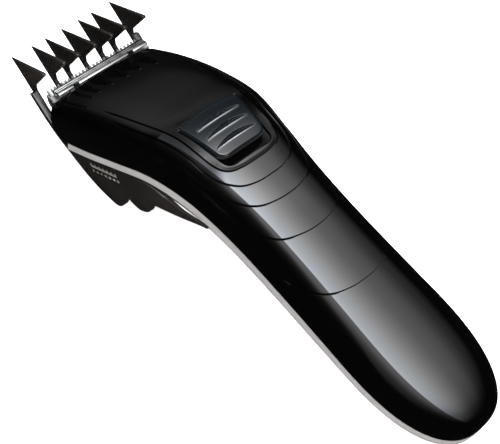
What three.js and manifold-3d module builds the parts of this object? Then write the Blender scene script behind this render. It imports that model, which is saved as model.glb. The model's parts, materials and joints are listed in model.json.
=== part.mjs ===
// Cordless hair clipper with a sliding length comb. Millimetres, +Z up, blades towards +X.
// The shape is worked out with the handle level (X forward, Z up, parting line at z = 0)
// and laid down at the end so that the tail and the comb rest on the ground.
import * as THREE from 'three';
import { mergeVertices } from 'three/addons/utils/BufferGeometryUtils.js';
import Module from 'manifold-3d';

const wasm = await Module();
wasm.setup();

// ---- driving dimensions -------------------------------------------------
const restTilt = 11.6;            // nose up, degrees, to stand on comb and tail
const wall = 1.8;                 // housing wall
const seam = 0.3;                 // gap between parts that meet
const tailEnd = -91.8;            // rear end of the handle
const tailStart = -50;            // where the tail starts to round off
const tailPower = 2.5;            // squareness of the tail in plan
const roofEdge = 80.4;            // front edge of the housing roof
const stripDepth = 3.7;           // band under the parting line
const railHalf = 20.2;            // half width of the lower housing under the head
// stations along the handle: [x, parting height, roof height, half width, depth below parting]
const stations = [
  [-92, 0, 11.6, 19.4, 17.6], [-75, 0, 12.2, 19.2, 18.2], [-45, 0, 13.2, 18.4, 19.3],
  [-20, 0.1, 14.1, 18.1, 19.8], [0, 0.4, 14.7, 18.7, 19.6], [15, 0, 14.6, 20.2, 19.1],
  [30, -3.6, 12.4, 22.4, 18.1], [45, -13.4, 4.2, 24, 15.9], [60, -25.2, -5.2, 24.6, 12.4],
  [70, -33.2, -12.6, 24.5, 6], [82, -42.6, -22.9, 24, 2],
];
const combSlope = -40;            // direction of the comb slide, degrees
const motorSlope = -25;           // motor axis, degrees
const motorNose = [82.6, -31.6];  // tip of the drive pin, x and z
const motorRadius = 9, motorLength = 26, motorBack = 16.5;
const pinThrow = 1.2, pinRadius = 0.8;
const hinge = [82.2, -25.6];      // pivot of the cutting unit, x and z
const bladeHalf = 20.5;           // 41 mm wide cutter
const toothPitch = 1.5, fixedTeeth = 27, movingTeeth = 24;
const tineOffsets = [-21, -12.8, -7.1, 0, 7.1, 12.8, 21];
const tineThick = 1.2;
const cellRadius = 7.25, cellLength = 50, cellRear = -64;
const buttonSlope = -7;           // slope of the switch recess, degrees
const rad = Math.PI / 180;

// ---- helpers ------------------------------------------------------------
const group = new THREE.Group();
group.name = 'hair_clipper';

function solid(geometry) {
  let g = geometry.clone();
  g.deleteAttribute('normal');
  g.deleteAttribute('uv');
  g = mergeVertices(g, 1e-5);
  return new wasm.Manifold(new wasm.Mesh({
    numProp: 3,
    vertProperties: new Float32Array(g.attributes.position.array),
    triVerts: new Uint32Array(g.index.array),
  }));
}

function box(x0, x1, y0, y1, z0, z1) {
  const g = new THREE.BoxGeometry(x1 - x0, y1 - y0, z1 - z0);
  g.translate((x0 + x1) / 2, (y0 + y1) / 2, (z0 + z1) / 2);
  return solid(g);
}

// cylinder or cone between two points
function rod(a, b, ra, rb = ra, sides = 24) {
  const p = new THREE.Vector3(...a), q = new THREE.Vector3(...b);
  const d = q.clone().sub(p);
  const g = new THREE.CylinderGeometry(rb, ra, d.length(), sides, 1);
  g.applyQuaternion(new THREE.Quaternion().setFromUnitVectors(
    new THREE.Vector3(0, 1, 0), d.clone().normalize()));
  g.translate(...p.add(q).multiplyScalar(0.5).toArray());
  return solid(g);
}

// side view outline [x, z] pushed out across the width
function plate(outline, y0, y1) {
  const shape = new THREE.Shape(outline.map(([x, z]) => new THREE.Vector2(x, z)));
  const g = new THREE.ExtrudeGeometry(shape, { depth: y1 - y0, bevelEnabled: false });
  g.rotateX(Math.PI / 2);
  g.translate(0, y1, 0);
  return solid(g);
}

// plan outline [x, y] pushed up
function slab(outline, z0, z1) {
  const shape = new THREE.Shape(outline.map(([x, y]) => new THREE.Vector2(x, y)));
  const g = new THREE.ExtrudeGeometry(shape, { depth: z1 - z0, bevelEnabled: false });
  g.translate(0, 0, z0);
  return solid(g);
}

// round wire along a smooth path
function wire(points, r, steps = 16, sides = 8) {
  const path = new THREE.CatmullRomCurve3(points.map((p) => new THREE.Vector3(...p)));
  const circle = new THREE.Shape();
  for (let i = 0; i < sides; i++) {
    const a = 2 * Math.PI * i / sides;
    if (i) circle.lineTo(r * Math.cos(a), r * Math.sin(a));
    else circle.moveTo(r, 0);
  }
  return solid(new THREE.ExtrudeGeometry(circle, { steps, extrudePath: path, bevelEnabled: false }));
}

function add(...solids) {
  return solids.reduce((a, b) => a.add(b));
}

function turned(part, angle, x, z) {     // about the Y direction, through x, z, nose up positive
  return part.translate([-x, 0, -z]).rotate([0, -angle, 0]).translate([x, 0, z]);
}

function mesh(name, part, colour, roughness, metalness = 0) {
  const m = part.getMesh();
  const g = new THREE.BufferGeometry();
  g.setAttribute('position', new THREE.BufferAttribute(new Float32Array(m.vertProperties), 3));
  g.setIndex(new THREE.BufferAttribute(new Uint32Array(m.triVerts), 1));
  g.rotateY(-restTilt * rad);
  g.userData = {};
  const out = new THREE.Mesh(g, new THREE.MeshStandardMaterial({ color: colour, roughness, metalness }));
  out.name = name;
  group.add(out);
  return part;
}

// smooth value between the stations (monotone cubic)
function station(k) {
  const xs = stations.map((s) => s[0]), ys = stations.map((s) => s[k]);
  const n = xs.length, slope = [], tangent = [];
  for (let i = 0; i < n - 1; i++) slope.push((ys[i + 1] - ys[i]) / (xs[i + 1] - xs[i]));
  for (let i = 0; i < n; i++) {
    if (i === 0) tangent.push(slope[0]);
    else if (i === n - 1) tangent.push(slope[n - 2]);
    else if (slope[i - 1] * slope[i] <= 0) tangent.push(0);
    else tangent.push((slope[i - 1] + slope[i]) / 2);
  }
  return (x) => {
    let i = 0;
    while (i < n - 2 && x > xs[i + 1]) i++;
    const h = xs[i + 1] - xs[i], t = (x - xs[i]) / h;
    return ys[i] * (1 + 2 * t) * (1 - t) ** 2 + h * tangent[i] * t * (1 - t) ** 2
      + ys[i + 1] * t * t * (3 - 2 * t) + h * tangent[i + 1] * t * t * (t - 1);
  };
}
const partingAt = station(1), roofAt = station(2), halfAt = station(3), depthAt = station(4);

// how squarely the roof turns into the sides: rounder on the handle, squarer on the head
const squareAt = (x) => 2.25 + 0.95 / (1 + Math.exp(-(x - 32) / 9));

// rings of the handle from the front to the tail: x, width scale, height scale
function rings(front, inset) {
  const list = [];
  for (let x = front; x > tailStart; x -= x > 8 ? 4 : 8) list.push([x, 1, 1]);
  const length = tailStart - tailEnd - inset;
  for (let i = 0; i <= 11; i++) {
    const a = Math.PI / 2 * i / 11.25;
    const s = Math.cos(a) ** (2 / tailPower);
    list.push([tailStart - length * Math.sin(a) ** (2 / tailPower), s, s ** 0.6]);
  }
  return list;
}

// closed body through rings of points
function loft(sections) {
  const n = sections[0].length, pos = sections.flat(2), index = [];
  for (let k = 0; k < sections.length - 1; k++) {
    for (let i = 0; i < n; i++) {
      const a = k * n + i, b = k * n + (i + 1) % n;
      index.push(a, a + n, b, b, a + n, b + n);
    }
  }
  for (const [k, flip] of [[0, false], [sections.length - 1, true]]) {
    const c = pos.length / 3;
    const mid = [0, 1, 2].map((j) => sections[k].reduce((t, p) => t + p[j], 0) / n);
    pos.push(...mid);
    for (let i = 0; i < n; i++) {
      const a = k * n + i, b = k * n + (i + 1) % n;
      if (flip) index.push(c, b, a); else index.push(c, a, b);
    }
  }
  const g = new THREE.BufferGeometry();
  g.setAttribute('position', new THREE.BufferAttribute(new Float32Array(pos), 3));
  g.setIndex(index);
  return new wasm.Manifold(new wasm.Mesh({
    numProp: 3, vertProperties: new Float32Array(pos), triVerts: new Uint32Array(index),
  }));
}

// upper half of the handle, shrunk by inset
function upperForm(front, inset, lift = 0) {
  return loft(rings(front, inset).map(([x, s, sz]) => {
    const w = (halfAt(x) - inset) * s, base = partingAt(x) + lift;
    const h = (roofAt(x) - partingAt(x) - inset) * sz, m = squareAt(x);
    const ring = [];
    for (let i = 0; i <= 22; i++) {
      const a = Math.PI * i / 22, c = Math.cos(a);
      ring.push([x, w * Math.sign(c) * Math.abs(c) ** (2 / m), base + h * Math.sin(a) ** (2 / m)]);
    }
    return ring;
  }));
}

// lower half: a straight band under the parting line, then a narrower rounded tub
function lowerForm(front, inset, drop = 0) {
  return loft(rings(front, inset).map(([x, s, sz]) => {
    const w = (halfAt(x) - inset) * s, base = partingAt(x) - drop;
    const tub = Math.min(w, (railHalf - inset) * s), band = stripDepth * sz;
    const h = (depthAt(x) - inset) * sz - band * 0.98;
    const ring = [[x, -w, base], [x, -w, base - band]];
    for (let i = 0; i <= 18; i++) {
      const a = Math.PI * i / 18, c = -Math.cos(a);
      ring.push([x, tub * Math.sign(c) * Math.abs(c) ** (2 / 2.6) * 0.999,
        base - band - Math.max(h, 0.5) * Math.sin(a) ** (2 / 2.6) - 0.001]);
    }
    ring.push([x, w, base - band], [x, w, base]);
    return ring;
  }));
}

// ---- colours ------------------------------------------------------------
const black = '#0a0a0c', grey = '#a8a29e', steel = '#c9ccd0', brown = '#1d1713', slate = '#2b2f38';
const brass = '#b08d4a', green = '#1f5a3a', ivory = '#d9d4c4';

// ---- power switch recess and button outlines (plan) ---------------------
function trapezoid(rear, front, rearHalf, frontHalf, corner) {
  return [
    [rear, -rearHalf + corner], [rear + corner, -rearHalf], [front - 1, -frontHalf],
    [front, -frontHalf + 1.5], [front + 0.8, 0], [front, frontHalf - 1.5], [front - 1, frontHalf],
    [rear + corner, rearHalf], [rear, rearHalf - corner],
  ];
}
const recessPlan = trapezoid(10.9, 33.4, 9.4, 11.8, 3.5);
const tubPlan = trapezoid(9.3, 35, 11, 13.4, 4);
const buttonPlan = trapezoid(14.7, 32.9, 8.9, 11.2, 3.2);
const level = (part) => turned(part, buttonSlope, 22, 13.9);   // tips a part onto the switch slope

// ---- housings -----------------------------------------------------------
function upperHousing() {
  const sideView = [[-100, -3], [-20, -3], [20, -8], [40, -22], [69, -36], [71.5, -35], [76, -35.8],
    [80.5, -33.6], [83, -30], [84.1, -26.6], [83.9, -24.6], [82.6, -23.4], [80.4, -22], [70, 5],
    [20, 20], [-100, 20]];
  let body = upperForm(86, 0, seam / 2).intersect(plate(sideView, -30, 30));
  const inside = upperForm(88, wall, -0.5);
  body = body.subtract(inside);
  // roof ends before the hinge and carries two lugs for it
  body = body.subtract(box(roofEdge, 90, -21.3, 21.3, -40, -10));
  for (const y of [-11.6, 11.6]) {
    const lug = add(rod([hinge[0], y - 0.9, hinge[1]], [hinge[0], y + 0.9, hinge[1]], 1.35),
      plate([[80.1, -22], [80.6, -23.6], [82.6, -24.4], [82.2, -26.9], [80.9, -26.1], [80.1, -25.4]],
        y - 0.9, y + 0.9));
    body = add(body, lug.intersect(upperForm(86, 0.3, 0)));
    body = body.subtract(rod([hinge[0], y - 2, hinge[1]], [hinge[0], y + 2, hinge[1]], 0.8, 0.8, 16));
  }
  // tub for the power switch
  const tub = level(slab(tubPlan, 9.6, 16)).intersect(upperForm(86, 0, seam / 2));
  body = add(body, tub).subtract(level(slab(recessPlan, 11.4, 20)));
  body = body.subtract(level(box(17.4, 27.6, -1.9, 1.9, 8, 13)));
  // bosses for the housing screws
  for (const [x, y] of screwSpots) {
    const boss = rod([x, y, 1.2], [x, y, 13.5], 2.8).intersect(upperForm(86, 1, 0));
    body = add(body, boss).subtract(rod([x, y, 0], [x, y, 8], 1.25));
  }
  return body;
}

const screwSpots = [[-73, 0], [-4, 10.6], [-4, -10.6]];
const screwSeat = (x) => partingAt(x) - depthAt(x) + 5.2;

function lowerHousing() {
  let body = lowerForm(70, 0, seam / 2);
  body = body.subtract(lowerForm(68, wall, -0.5).subtract(box(66.2, 80, -30, 30, -60, 0)));
  for (const [x, y] of screwSpots) {
    const floor = partingAt(x) - depthAt(x);
    const post = rod([x, y, floor - 1], [x, y, 0.6], 3.5).intersect(lowerForm(70, 0.5, 0));
    body = add(body, post);
    body = body.subtract(rod([x, y, floor - 3], [x, y, screwSeat(x)], 2.5));
    body = body.subtract(rod([x, y, floor], [x, y, 3], 1.4));
  }
  body = body.subtract(rod([-95, 0, -7.4], [-80, 0, -7.4], 4.6));       // charging socket
  // notches for the comb lock
  for (let i = 0; i < 11; i++) {
    const x = 31 + i * 1.8 * Math.cos(combSlope * rad);
    const z = partingAt(x) - depthAt(x);
    body = body.subtract(box(x - 0.35, x + 0.35, -4, 4, z - 1.5, z + 0.55));
  }
  return body;
}

function housingScrew(x, y) {
  const seat = screwSeat(x) - 0.15;
  return add(rod([x, y, seat - 1.7], [x, y, seat - 0.1], 2.2), rod([x, y, seat - 0.2], [x, y, 7], 1.1))
    .subtract(box(x - 1.6, x + 1.6, y - 0.25, y + 0.25, seat - 3, seat - 1.1))
    .subtract(box(x - 0.25, x + 0.25, y - 1.6, y + 1.6, seat - 3, seat - 1.1));
}

// ---- drive --------------------------------------------------------------
const along = [Math.cos(motorSlope * rad), Math.sin(motorSlope * rad)];
const onAxis = (d, y = 0, up = 0) => [motorNose[0] - d * along[0] - up * along[1], y,
  motorNose[1] - d * along[1] + up * along[0]];

function motorCan() {
  const can = rod(onAxis(motorBack + motorLength), onAxis(motorBack), motorRadius, motorRadius, 32);
  const flats = add(
    turned(box(-40, 40, 7.6, 12, -20, 20), motorSlope, 0, 0), turned(box(-40, 40, -12, -7.6, -20, 20), motorSlope, 0, 0),
  ).translate(onAxis(30));
  return add(can.subtract(flats), rod(onAxis(motorBack + 1), onAxis(motorBack - 2), 3))
    .subtract(rod(onAxis(60), onAxis(5), 1.3));
}

function motorCap() {
  const back = motorBack + motorLength + seam;
  return add(rod(onAxis(back + 3), onAxis(back), 7.2), rod(onAxis(back + 4.4), onAxis(back + 2), 2.6))
    .subtract(rod(onAxis(back + 3.6), onAxis(back - 1), 1.3));
}

function motorTerminal(side) {
  const back = motorBack + motorLength + seam;
  return turned(box(-3, 0, side * 4.6 - 0.9, side * 4.6 + 0.9, -0.25, 0.25), motorSlope, 0, 0)
    .translate(onAxis(back + 3.3));
}

function motorMount() {
  const front = motorBack - seam;
  const shape = turned(box(-1.8, 0, -15, 15, -5.2, 8), motorSlope, 0, 0).translate(onAxis(front - 1.8));
  let body = shape.subtract(rod(onAxis(40), onAxis(5), 3.4));
  for (const y of [6.2, -6.2]) body = body.subtract(rod(onAxis(40, y), onAxis(5, y), 1.1));
  return body.intersect(add(upperForm(86, wall + 0.4, -1), lowerForm(86, wall + 0.4, -1)));
}

function motorScrew(y) {
  const front = motorBack - seam - 1.8;
  return add(rod(onAxis(front - 0.2, y), onAxis(front - 1.5, y), 1.8), rod(onAxis(front + 1.6, y), onAxis(front - 0.4, y), 0.9));
}

function bulkhead() {
  const outline = [[70.8, -36.2], [80, -36.2], [80, -20], [78.4, -20], [78.4, -34.6], [70.8, -34.6]];
  return plate(outline, -20.9, 20.9).subtract(box(77, 81, -4.6, 4.6, -34.4, -26))
    .intersect(add(upperForm(88, wall + seam, -0.5), lowerForm(88, 1, -0.5)));
}

function motorShaft() {
  return rod(onAxis(motorBack + motorLength + 3.4), onAxis(7.4), 1.2, 1.2, 16);
}

function eccentric() {
  return add(rod(onAxis(9.4), onAxis(4.2), 2.9), rod(onAxis(5, 0, pinThrow), onAxis(0.9, 0, pinThrow), pinRadius, pinRadius, 16))
    .subtract(rod(onAxis(12), onAxis(7.1), 1.3, 1.3, 16));
}

// ---- cutting unit -------------------------------------------------------
function teeth(count, half, root, tip, width, tipWidth) {
  const list = [[root - 1.2, -half], [root - 1.2, half], [root, half]];
  const first = (count - 1) / 2 * toothPitch;
  for (let i = 0; i < count; i++) {
    const y = first - i * toothPitch;
    list.push([root, y + width / 2], [tip, y + tipWidth / 2], [tip, y - tipWidth / 2], [root, y - width / 2]);
  }
  list.push([root, -half]);
  return list.reverse();
}

function fixedBlade() {
  let body = slab(teeth(fixedTeeth, bladeHalf, 85.6, 88.6, 1.0, 0.45), -28.6, -27.7);
  body = add(body, box(82.9, 85, -bladeHalf, bladeHalf, -28.6, -27.7));
  // turned down guard at each end
  for (const s of [1, -1]) {
    const ear = plate([[83.4, -33.4], [86.6, -31.6], [87.6, -28.2], [83, -28.2]],
      s > 0 ? 19.7 : -20.6, s > 0 ? 20.6 : -19.7);
    body = add(body, ear);
  }
  return body;
}

function movingBlade() {
  const body = slab(teeth(movingTeeth, 18.4, 85.4, 87.9, 0.9, 0.4), -27.5, -26.8);
  return add(body, box(82.9, 85, -18.4, 18.4, -27.5, -26.8));
}

function driveBridge() {
  const top = box(81.2, 83.7, -6, 6, -26.6, -25.8);
  const fork = box(81.2, 82.5, -4.2, 4.2, -33.8, -26);
  return add(top, fork).subtract(box(80, 83.2, -2.15, 2.15, -40, -28.8));
}

function bladeFrame() {
  let body = plate([[82.9, -34.4], [85.6, -34.4], [86, -31], [85.8, -28.9], [82.9, -28.9]], -19.3, 19.3);
  body = body.subtract(box(84.4, 90, -12, 12, -33.2, -30));
  for (const s of [1, -1]) {
    const y0 = s > 0 ? 12.8 : -14.6, y1 = s > 0 ? 14.6 : -12.8;
    body = add(body, plate([[82.2, -33], [83.1, -33.8], [83.4, -29.2], [82.7, -28.9], [82.7, -25.6],
      [82.2, -24.4], [81.3, -24.8], [81, -25.6], [81.2, -27.4], [82, -28.4]], y0, y1));
    body = add(body, rod([hinge[0], s * 10.6, hinge[1]], [hinge[0], s * 14.2, hinge[1]], 0.7, 0.7, 16));
    body = body.subtract(rod([84, s * 16.6, -35], [84, s * 16.6, -28], 0.95, 0.95, 16))
      .subtract(rod([84, s * 16.6, -35], [84, s * 16.6, -33], 1.7, 1.7, 16));
  }
  return body;
}

function guideBar() {
  let body = plate([[84, -26.5], [86.2, -26.5], [86, -25.4], [84, -25]], -18.9, 18.9);
  return body;
}

function bladeScrew(y) {
  return add(rod([84, y, -34.3], [84, y, -33.2], 1.5, 1.5, 16), rod([84, y, -33.4], [84, y, -29.2], 0.8, 0.8, 16))
    .subtract(box(82, 86, y - 0.2, y + 0.2, -35, -33.8));
}

function bladeSpring() {
  return wire([[83.6, -15.5, -24.7], [84.4, -9, -24.3], [84.6, 0, -24.2], [84.4, 9, -24.3], [83.6, 15.5, -24.7]], 0.35, 20, 6);
}

// ---- comb ---------------------------------------------------------------
const tine = [[107, -28], [87.6, -15.6], [86.9, -16.2], [93.4, -29.8], [93.6, -31.4]];
const skinLine = [[48, -41.6], [70, -41.2], [78, -40.2], [85, -38], [94, -33.4]];
const stemLine = [[85, -36], [78, -38.5], [70, -39.5], [48, -40]];
const railBottom = [[94, -33.2], [85, -37.8], [78, -40.2], [70, -41.2], [48, -41.6], [43.5, -41],
  [42, -39.6], [41.4, -37.4], [41.3, -33], [41.1, -29], [40, -28.4], [38.6, -29.6], [36, -30.2],
  [33, -29.4], [30.4, -27.2], [28.9, -24.4], [28.6, -21], [28.4, -17.6], [18.7, -9.4], [13, -6.8],
  [9.4, -5.5]];
const railTop = (x) => Math.min(partingAt(x) - stripDepth - 0.7, -4);
// the length lock sits in a cross bar that lies along the underside of the head
const lockSlope = -28, lockCentre = [34.7, -27.1];
const onBar = (part) => part.rotate([0, -lockSlope, 0]).translate([lockCentre[0], 0, lockCentre[1]]);

function combBody() {
  const profile = [...tine, ...stemLine, ...skinLine];
  let body = plate([[44.5, -39.9], [70, -39.5], [77, -38.9], [77, -40.4], [70, -41.2], [44.5, -41.6]],
    -22, 22);
  for (const y of tineOffsets) body = add(body, plate(profile, y - tineThick / 2, y + tineThick / 2));
  const rail = railBottom.slice();
  for (let x = 8.6; x <= 66; x += 4) rail.push([x, railTop(x)]);
  rail.push([69.5, -37.4], [78, -37.2], [85, -34.6], [92, -31]);
  for (const s of [1, -1]) body = add(body, plate(rail, s > 0 ? 20.7 : -23.1, s > 0 ? 23.1 : -20.7));
  // rear wall of the sole and the cross bar
  body = add(body, plate([[40.9, -31.6], [38.8, -30.5], [42, -41], [44.6, -41.6], [45, -39.9], [43.6, -39.5]],
    -16, 16));
  body = add(body, onBar(box(-6.4, 6.6, -16, 16, -1.3, 1.3)), onBar(box(-6.4, 3.6, -22, 22, -1.3, 1.3)));
  body = body.subtract(onBar(box(-4.7, 4.7, -6.4, 6.4, -5, 5)));
  return body.subtract(onBar(rod([0, -7.6, 0], [0, 7.6, 0], 0.85, 0.85, 16)));
}

function lockButton() {
  let body = box(-4.3, 4.3, -6, 6, -3.2, 0.2);
  for (let x = -3; x <= 0; x += 1.5) body = body.subtract(rod([x, -7, -3.2], [x, 7, -3.2], 0.4, 0.4, 8));
  body = add(body, rod([0, -7.4, 0], [0, 7.4, 0], 0.75, 0.75, 16), box(3.3, 4.2, -3, 3, 0, 1.3));
  return onBar(body);
}

// ---- power switch -------------------------------------------------------
function powerSlider() {
  const skin = upperForm(86, -0.7, 0);
  let body = level(slab(buttonPlan, 11.7, 20)).intersect(skin);
  for (const x of [18.2, 22.6, 27]) {
    const scoop = rod([x, -7.4, 17.2], [x, 7.4, 17.2], 2.9, 2.9, 28).subtract(box(x - 5, x - 0.2, -9, 9, 10, 22));
    body = body.subtract(level(scoop));
  }
  return add(body, level(box(21.2, 24.4, -1.5, 1.5, 9.4, 12)));
}

function switchBody() {
  return level(box(16.6, 28.6, -3.4, 3.4, 5.7, 8.7)).subtract(level(box(17.4, 27.6, -1.4, 1.4, 7.3, 10)));
}

function switchKnob() {
  return level(box(21.4, 24.2, -1.1, 1.1, 7.6, 9.2));
}

function board() {
  return level(box(0.5, 33, -11, 11, 4.2, 5.4));
}

function chip(x0, x1, y0, y1, h) {
  return level(box(x0, x1, y0, y1, 5.6, 5.6 + h));
}

// ---- battery and charging -----------------------------------------------
function cell(y) {
  const x1 = cellRear + cellLength;
  return add(rod([cellRear, y, -1], [x1 - 1.4, y, -1], cellRadius, cellRadius, 32),
    rod([x1 - 2, y, -1], [x1, y, -1], 2.6, 2.6, 20));
}

function cradle() {
  let body = box(cellRear + 1, cellRear + cellLength - 3, -12.5, 12.5, -12.2, -5);
  for (const y of [7.6, -7.6]) body = body.subtract(rod([-90, y, -1], [0, y, -1], cellRadius + 0.3, cellRadius + 0.3, 32));
  return body;
}

function socket() {
  return rod([-80.6, 0, -7.4], [-89.6, 0, -7.4], 4.2).subtract(rod([-83, 0, -7.4], [-95, 0, -7.4], 2.9));
}

function socketPin() {
  return rod([-83.2, 0, -7.4], [-88.4, 0, -7.4], 0.9, 0.9, 16);
}

// ---- build --------------------------------------------------------------
mesh('upper_housing', upperHousing(), black, 0.12);
mesh('lower_housing', lowerHousing(), grey, 0.45);
mesh('comb_body', combBody(), brown, 0.35);
mesh('motor_can', motorCan(), steel, 0.35, 1);
mesh('motor_end_cap', motorCap(), ivory, 0.5);
mesh('motor_terminal_a', motorTerminal(1), brass, 0.3, 1);
mesh('motor_terminal_b', motorTerminal(-1), brass, 0.3, 1);
mesh('motor_mount', motorMount(), slate, 0.6);
mesh('motor_screw_a', motorScrew(6.2), steel, 0.35, 1);
mesh('motor_screw_b', motorScrew(-6.2), steel, 0.35, 1);
mesh('front_bulkhead', bulkhead(), black, 0.5);
mesh('motor_shaft', motorShaft(), steel, 0.3, 1);
mesh('eccentric', eccentric(), ivory, 0.4);
mesh('fixed_blade', fixedBlade(), steel, 0.25, 1);
mesh('moving_blade', movingBlade(), steel, 0.25, 1);
mesh('drive_bridge', driveBridge(), slate, 0.5);
mesh('blade_frame', bladeFrame(), black, 0.45);
mesh('guide_bar', guideBar(), slate, 0.35);
mesh('blade_spring', bladeSpring(), steel, 0.3, 1);
screwSpots.forEach(([x, y], i) => mesh('housing_screw_' + 'abc'[i], housingScrew(x, y), steel, 0.35, 1));
mesh('blade_screw_a', bladeScrew(16.6), steel, 0.35, 1);
mesh('blade_screw_b', bladeScrew(-16.6), steel, 0.35, 1);
mesh('comb_lock_button', lockButton(), slate, 0.4);
mesh('power_slider', powerSlider(), slate, 0.35);
mesh('switch_knob', switchKnob(), ivory, 0.5);
mesh('slide_switch', switchBody(), steel, 0.4, 1);
mesh('circuit_board', board(), green, 0.5);
mesh('board_chip', chip(4, 10, -3, 3, 1.4), black, 0.4);
mesh('board_coil', chip(1.5, 6, 4.5, 8.5, 2.4), brass, 0.4, 1);
mesh('cell_left', cell(7.6), slate, 0.3);
mesh('cell_right', cell(-7.6), slate, 0.3);
mesh('cell_cradle', cradle(), black, 0.6);
mesh('battery_strap', box(cellRear - 0.6, cellRear - 0.3, -10, 10, -3, 1), steel, 0.3, 1);
const nub = cellRear + cellLength + 0.3;
mesh('battery_tab_a', box(nub, nub + 0.4, 5, 10, -3, 2), steel, 0.3, 1);
mesh('battery_tab_b', box(nub, nub + 0.4, -10, -5, -3, 2), steel, 0.3, 1);
mesh('charge_socket', socket(), black, 0.4);
mesh('socket_pin', socketPin(), brass, 0.3, 1);
const capBack = motorBack + motorLength + 7;
mesh('motor_lead_a', wire([onAxis(capBack, 4.6), onAxis(capBack + 3, 5.2), [31, 6.4, -4], [24, 6.6, 2.4]], 0.5, 12, 6),
  '#8c1d18', 0.5);
mesh('motor_lead_b', wire([onAxis(capBack, -4.6), onAxis(capBack + 3, -5.2), [31, -6.4, -4], [24, -6.6, 2.4]], 0.5, 12, 6),
  black, 0.5);
mesh('battery_lead_a', wire([[nub + 1, 6.4, -1], [nub + 4, 6, -1], [-5, 6, -0.4], [3.4, 6.4, 1.6]], 0.5, 10, 6), '#8c1d18', 0.5);
mesh('battery_lead_b', wire([[nub + 1, -6.4, -1], [nub + 4, -6, -1], [-5, -6, -0.4], [3.4, -6.4, 1.6]], 0.5, 10, 6), black, 0.5);
mesh('socket_lead_a', wire([[-80, 2.2, -7.6], [-74, 5.4, -9], [-66, 6, -13.4], [-30, 6, -14.2], [-16, 5.4, -13.6], [-8, 4.4, -6], [2.4, 3, 1.6]], 0.5, 26, 6),
  '#8c1d18', 0.5);
mesh('socket_lead_b', wire([[-80, -2.2, -7.6], [-74, -5.4, -9], [-66, -6, -13.4], [-30, -6, -14.2], [-16, -5.4, -13.6], [-8, -4.4, -6], [2.4, -3, 1.6]], 0.5, 26, 6),
  black, 0.5);

// origin under the middle of the resting part
group.updateMatrixWorld(true);
const bounds = new THREE.Box3().setFromObject(group, true);
const centre = bounds.getCenter(new THREE.Vector3());
group.userData.shift = [-centre.x, -centre.y, -bounds.min.z];
group.children.forEach((m) => m.geometry.translate(...group.userData.shift));

export default group;
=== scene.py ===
import bpy
import json
import math
import numpy as np
from mathutils import Matrix, Vector


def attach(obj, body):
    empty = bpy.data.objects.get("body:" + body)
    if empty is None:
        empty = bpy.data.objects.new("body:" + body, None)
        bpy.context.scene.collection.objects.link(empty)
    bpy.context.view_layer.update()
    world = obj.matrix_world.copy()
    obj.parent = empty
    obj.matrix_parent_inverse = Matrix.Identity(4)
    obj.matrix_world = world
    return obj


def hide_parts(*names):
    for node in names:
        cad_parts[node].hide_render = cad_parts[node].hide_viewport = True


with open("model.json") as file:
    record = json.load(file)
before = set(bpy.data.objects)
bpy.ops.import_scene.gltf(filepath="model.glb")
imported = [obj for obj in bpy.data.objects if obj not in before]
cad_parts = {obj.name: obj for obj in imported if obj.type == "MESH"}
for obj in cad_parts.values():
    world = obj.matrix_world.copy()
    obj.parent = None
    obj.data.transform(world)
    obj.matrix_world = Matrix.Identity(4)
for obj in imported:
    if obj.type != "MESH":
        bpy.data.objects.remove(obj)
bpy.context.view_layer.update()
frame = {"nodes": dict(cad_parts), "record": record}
print("frame loaded", len(frame["nodes"]), "nodes")

# Everything is shaped in millimetres with the handle level: x forward to the blades,
# y to the left, z up, parting line of the two shells at z = 0. layDown() then tips each
# piece onto its comb and tail and brings it to metres.
rest = dict(tilt=11.6, shift=(-0.0099896, 0, 0.0318024))
camera = dict(at=(-0.17857, 0.15359, 0.32008), turn=(37.417, 0.334, -131.218), lens=86.4)

handle = dict(
    # along the handle: x, parting height, roof height, half width, depth below parting
    stations=[(-92, 0, 11.6, 19.4, 17.6), (-75, 0, 12.2, 19.2, 18.2), (-45, 0, 13.2, 18.4, 19.3),
              (-20, 0.1, 14.1, 18.1, 19.8), (0, 0.4, 14.7, 18.7, 19.6), (15, 0, 14.6, 20.2, 19.1),
              (30, -3.6, 12.4, 22.4, 18.1), (45, -13.4, 4.2, 24, 15.9), (60, -25.2, -5.2, 24.6, 12.4),
              (70, -33.2, -12.6, 24.5, 6), (82, -42.6, -22.9, 24, 2)],
    tailStart=-50, tailEnd=-91.8, tailPower=2.5,
    strip=3.7,  # straight band under the parting line
    tubHalf=20.2,  # half width of the lower tub under the head
    wall=1.8, seam=0.3,
    tailDrop=0.6,  # how slowly the tail thins, against its width
)


cutGap = 0.0004  # points of a cut piece closer than this are welded


def clearSelection():
    if bpy.context.object and bpy.context.object.mode != "OBJECT":
        bpy.ops.object.mode_set(mode="OBJECT")
    bpy.ops.object.select_all(action="DESELECT")


def pick(piece):
    clearSelection()
    piece.select_set(True)
    bpy.context.view_layer.objects.active = piece
    return piece


def named(name):  # names the primitive just added
    piece = bpy.context.object
    piece.name = name
    piece.data.name = name
    return piece


def editAll(piece, *steps):  # runs edit mode steps with everything selected
    pick(piece)
    bpy.ops.object.mode_set(mode="EDIT")
    bpy.ops.mesh.select_all(action="SELECT")
    for step in steps:
        step()
    bpy.ops.object.mode_set(mode="OBJECT")
    return piece


def outward():
    bpy.ops.mesh.normals_make_consistent(inside=False)


def weld(gap=0.0005):
    return lambda: bpy.ops.mesh.remove_doubles(threshold=gap)


def selectEdges(piece, test):
    mesh = piece.data
    for part in (mesh.vertices, mesh.edges, mesh.polygons):
        part.foreach_set("select", [False] * len(part))
    for edge in mesh.edges:
        edge.select = test(*(mesh.vertices[i].co for i in edge.vertices))


def modified(piece, kind, **settings):
    pick(piece)
    modifier = piece.modifiers.new(kind.lower(), kind)
    for key, value in settings.items():
        setattr(modifier, key, value)
    bpy.ops.object.modifier_apply(modifier=modifier.name)
    return piece


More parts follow.
